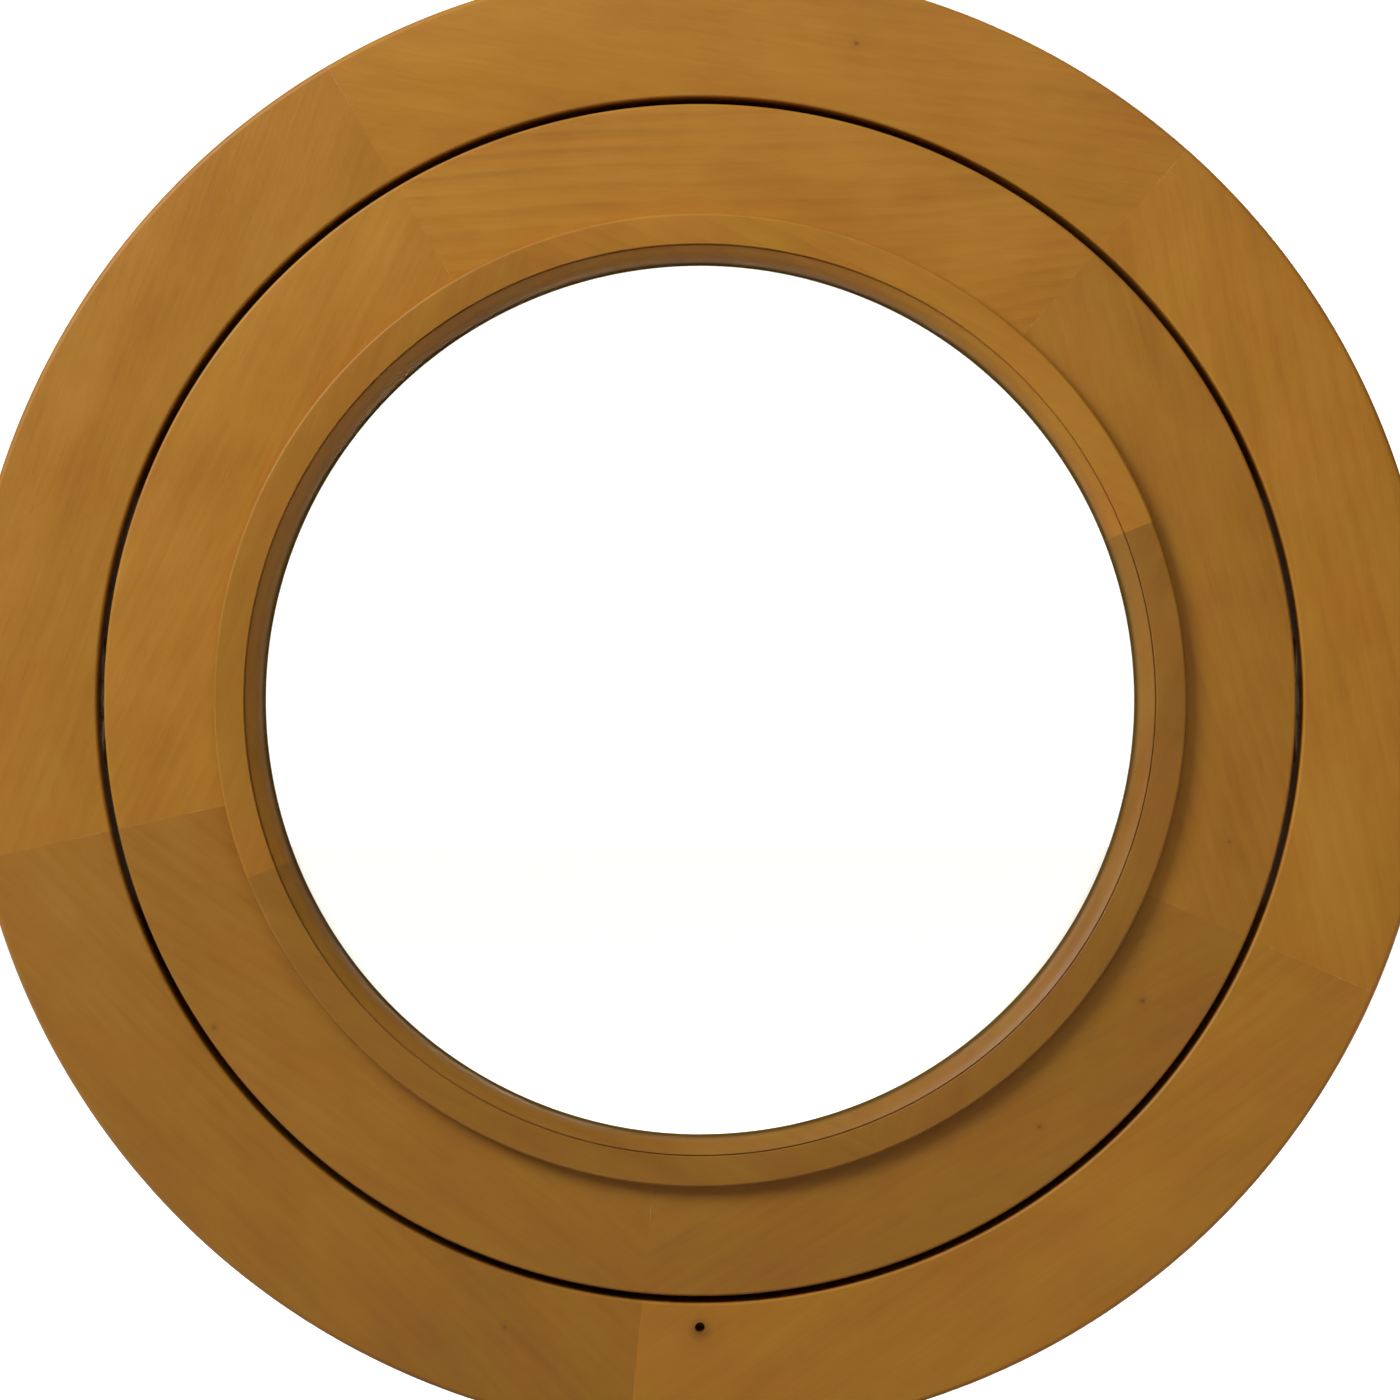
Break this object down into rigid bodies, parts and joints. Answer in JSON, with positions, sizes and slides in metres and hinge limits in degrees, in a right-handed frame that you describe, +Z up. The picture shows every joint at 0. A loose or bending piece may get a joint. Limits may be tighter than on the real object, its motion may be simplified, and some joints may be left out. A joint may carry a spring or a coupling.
{
  "type": "round window",
  "caption": "Round timber pivot window: a stained frame ring round a flush glazed sash ring with a raised moulded bead, which turns about a level axis.",
  "frame": {"origin": "centre of the window, on the pivot axis and the window's own axis, midway through the frame's depth", "axes": "+Z up, +X to the right seen from the room, +Y out of the room, so the room side with the glazing bead faces -Y"},
  "size_m": [0.8, 0.09, 0.8],
  "materials": {
    "frame_timber": "satin orange-brown stain",
    "sash_timber": "satin orange-brown stain",
    "bead_timber": "satin orange-brown stain",
    "stop_timber": "satin orange-brown stain",
    "dowel_timber": "plain beech",
    "clear_glass": "clear",
    "spacer_metal": "matt",
    "pivot_brass": "satin",
    "pivot_steel": "zinc plated",
    "screw_steel": "zinc plated",
    "block_plastic": "black",
    "washer_plastic": "natural nylon",
    "seal_rubber": "matt black"
  },
  "bodies": {
    "frame": {"frame_segment_1": "frame_timber", "frame_segment_2": "frame_timber", "frame_segment_3": "frame_timber", "frame_segment_4": "frame_timber", "frame_segment_5": "frame_timber", "frame_dowels": "dowel_timber", "frame_pivot_left": "pivot_brass", "frame_pivot_right": "pivot_brass", "friction_washer_left": "washer_plastic", "friction_washer_right": "washer_plastic", "frame_pivot_screws": "screw_steel", "frame_stop": "stop_timber", "frame_stop_seal": "seal_rubber", "frame_stop_screws": "screw_steel"},
    "sash": {"sash_segment_1": "sash_timber", "sash_segment_2": "sash_timber", "sash_segment_3": "sash_timber", "sash_segment_4": "sash_timber", "sash_segment_5": "sash_timber", "bead_segment_1": "bead_timber", "bead_segment_2": "bead_timber", "bead_segment_3": "bead_timber", "bead_segment_4": "bead_timber", "sash_dowels": "dowel_timber", "glass_front": "clear_glass", "glass_rear": "clear_glass", "spacer_bar": "spacer_metal", "edge_sealant": "seal_rubber", "front_tape": "seal_rubber", "rear_tape": "seal_rubber", "setting_blocks": "block_plastic", "bead_brads": "screw_steel", "sash_pivot_left": "pivot_steel", "sash_pivot_right": "pivot_steel", "sash_pivot_screws": "screw_steel", "sash_stop": "stop_timber", "sash_stop_seal": "seal_rubber", "sash_stop_screws": "screw_steel"}
  },
  "joints": [
    {"name": "sash_pivot", "type": "hinge", "parent": "frame", "child": "sash", "pos_m": [0, 0, 0], "axis": [1, 0, 0], "range_deg": [0, 120]}
  ]
}
